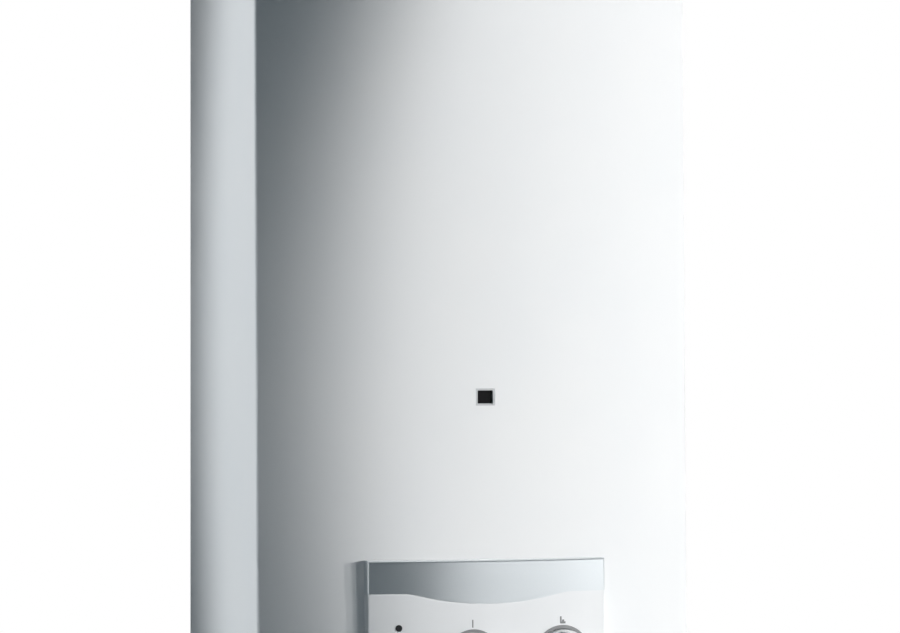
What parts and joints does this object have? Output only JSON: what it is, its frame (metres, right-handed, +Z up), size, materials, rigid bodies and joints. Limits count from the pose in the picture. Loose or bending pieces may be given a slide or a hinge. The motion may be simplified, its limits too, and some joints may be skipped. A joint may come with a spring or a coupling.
{
  "type": "wall-hung gas water heater",
  "caption": "Wall-hung gas water heater: bowed sheet casing, sight window, control fascia with knobs, open-flue spigot on top, water and gas threads below.",
  "frame": {"origin": "on the wall plane, on the centre line, level with the casing's lower edge", "axes": "+Z up, +X to the right of someone who faces the front, +Y into the wall, so the front faces -Y"},
  "size_m": [0.315, 0.2587, 0.642],
  "materials": {
    "casing_enamel": "gloss",
    "sight_frame_plastic": "satin",
    "sight_glass": "gloss",
    "fascia_plastic": "satin",
    "band_silver": "satin",
    "zinc_fixings": "satin",
    "ring_grey": "satin",
    "lens_black": "gloss",
    "knob_plastic": "satin",
    "spindle_steel": "satin",
    "zinc_sheet": "satin",
    "brass_fittings": "satin",
    "valve_aluminium": "matte",
    "spring_steel": "satin",
    "valve_brass": "matte",
    "diaphragm_rubber": "matte",
    "filter_plastic": "matte",
    "copper": "satin",
    "copper_sheet": "matte",
    "zinc_pipe": "satin",
    "burner_steel": "satin",
    "electrode_ceramic": "gloss",
    "sensor_steel": "satin",
    "box_plastic": "matte",
    "board_green": "satin",
    "cell_jacket": "gloss",
    "lead_rubber": "matte"
  },
  "bodies": {
    "heater": {"back_plate": "zinc_sheet", "casing_screws": "zinc_fixings", "connection_bracket": "zinc_sheet", "bracket_screws": "zinc_fixings", "hot_outlet_fitting": "brass_fittings", "gas_inlet_fitting": "brass_fittings", "cold_inlet_fitting": "brass_fittings", "locknuts": "brass_fittings", "gas_valve_body": "valve_aluminium", "gas_valve_cap": "valve_aluminium", "valve_spring": "spring_steel", "water_valve_body": "valve_brass", "water_valve_cover": "valve_brass", "diaphragm": "diaphragm_rubber", "clamp_screws": "zinc_fixings", "inlet_filter": "filter_plastic", "drain_screw": "brass_fittings", "cold_pipe": "copper", "hot_pipe": "copper", "exchanger_pipe": "copper", "pipe_nuts": "brass_fittings", "gas_pipe": "zinc_pipe", "combustion_chamber": "copper_sheet", "fin_block": "copper_sheet", "burner_frame": "zinc_sheet", "burner_bars": "burner_steel", "gas_manifold": "valve_aluminium", "nozzles": "brass_fittings", "ignition_electrode": "electrode_ceramic", "flame_electrode": "electrode_ceramic", "electrode_wires": "spring_steel", "overheat_limiter": "sensor_steel", "draught_hood": "zinc_sheet", "flow_deflector": "zinc_sheet", "flue_spigot": "zinc_sheet", "hood_brackets": "zinc_sheet", "flue_sensor": "sensor_steel", "support_frame": "zinc_sheet", "control_box": "box_plastic", "control_box_cover": "box_plastic", "circuit_board": "board_green", "battery_box": "box_plastic", "battery_door_pin": "spring_steel", "cells": "cell_jacket", "electrode_leads": "lead_rubber", "battery_lead": "lead_rubber"},
    "casing": {"front_casing": "casing_enamel", "sight_frame": "sight_frame_plastic", "sight_glass": "sight_glass", "fascia_panel": "fascia_plastic", "fascia_band": "band_silver", "fascia_screws": "zinc_fixings", "dial_rings": "ring_grey", "led_lens": "lens_black"},
    "power_knob": {"power_knob": "knob_plastic"},
    "temperature_knob": {"temperature_knob": "knob_plastic"},
    "power_spindle": {"power_spindle": "spindle_steel"},
    "temperature_spindle": {"temperature_spindle": "spindle_steel"},
    "valve_rod": {"valve_rod": "spindle_steel"},
    "battery_door": {"battery_door": "box_plastic"}
  },
  "joints": [
    {"name": "casing_lift_off", "type": "slide", "parent": "heater", "child": "casing", "axis": [0, -1, 0], "range_m": [0, 0.26]},
    {"name": "power_knob_turn", "type": "hinge", "parent": "casing", "child": "power_knob", "pos_m": [-0.012, -0.25, 0.0572], "axis": [0, 1, 0], "range_deg": [0, 180]},
    {"name": "temperature_knob_turn", "type": "hinge", "parent": "casing", "child": "temperature_knob", "pos_m": [0.0525, -0.25, 0.0572], "axis": [0, 1, 0], "range_deg": [-135, 135]},
    {"name": "power_spindle_turn", "type": "hinge", "parent": "heater", "child": "power_spindle", "pos_m": [-0.012, -0.17, 0.0572], "axis": [0, 1, 0], "range_deg": [0, 180]},
    {"name": "temperature_spindle_turn", "type": "hinge", "parent": "heater", "child": "temperature_spindle", "pos_m": [0.0525, -0.17, 0.0572], "axis": [0, 1, 0], "range_deg": [-135, 135]},
    {"name": "valve_rod_travel", "type": "slide", "parent": "heater", "child": "valve_rod", "axis": [-1, 0, 0], "range_m": [0, 0.004], "stiffness_N_per_m": 400, "springref_m": -0.006, "deforming": ["valve_spring"]},
    {"name": "battery_door_swing", "type": "hinge", "parent": "heater", "child": "battery_door", "pos_m": [0.1353, -0.13, 0.014], "axis": [0, -1, 0], "range_deg": [0, 95]}
  ],
  "couplings": [
    {"joint": "power_spindle_turn", "follows": "power_knob_turn", "ratio": 1},
    {"joint": "temperature_spindle_turn", "follows": "temperature_knob_turn", "ratio": 1}
  ]
}
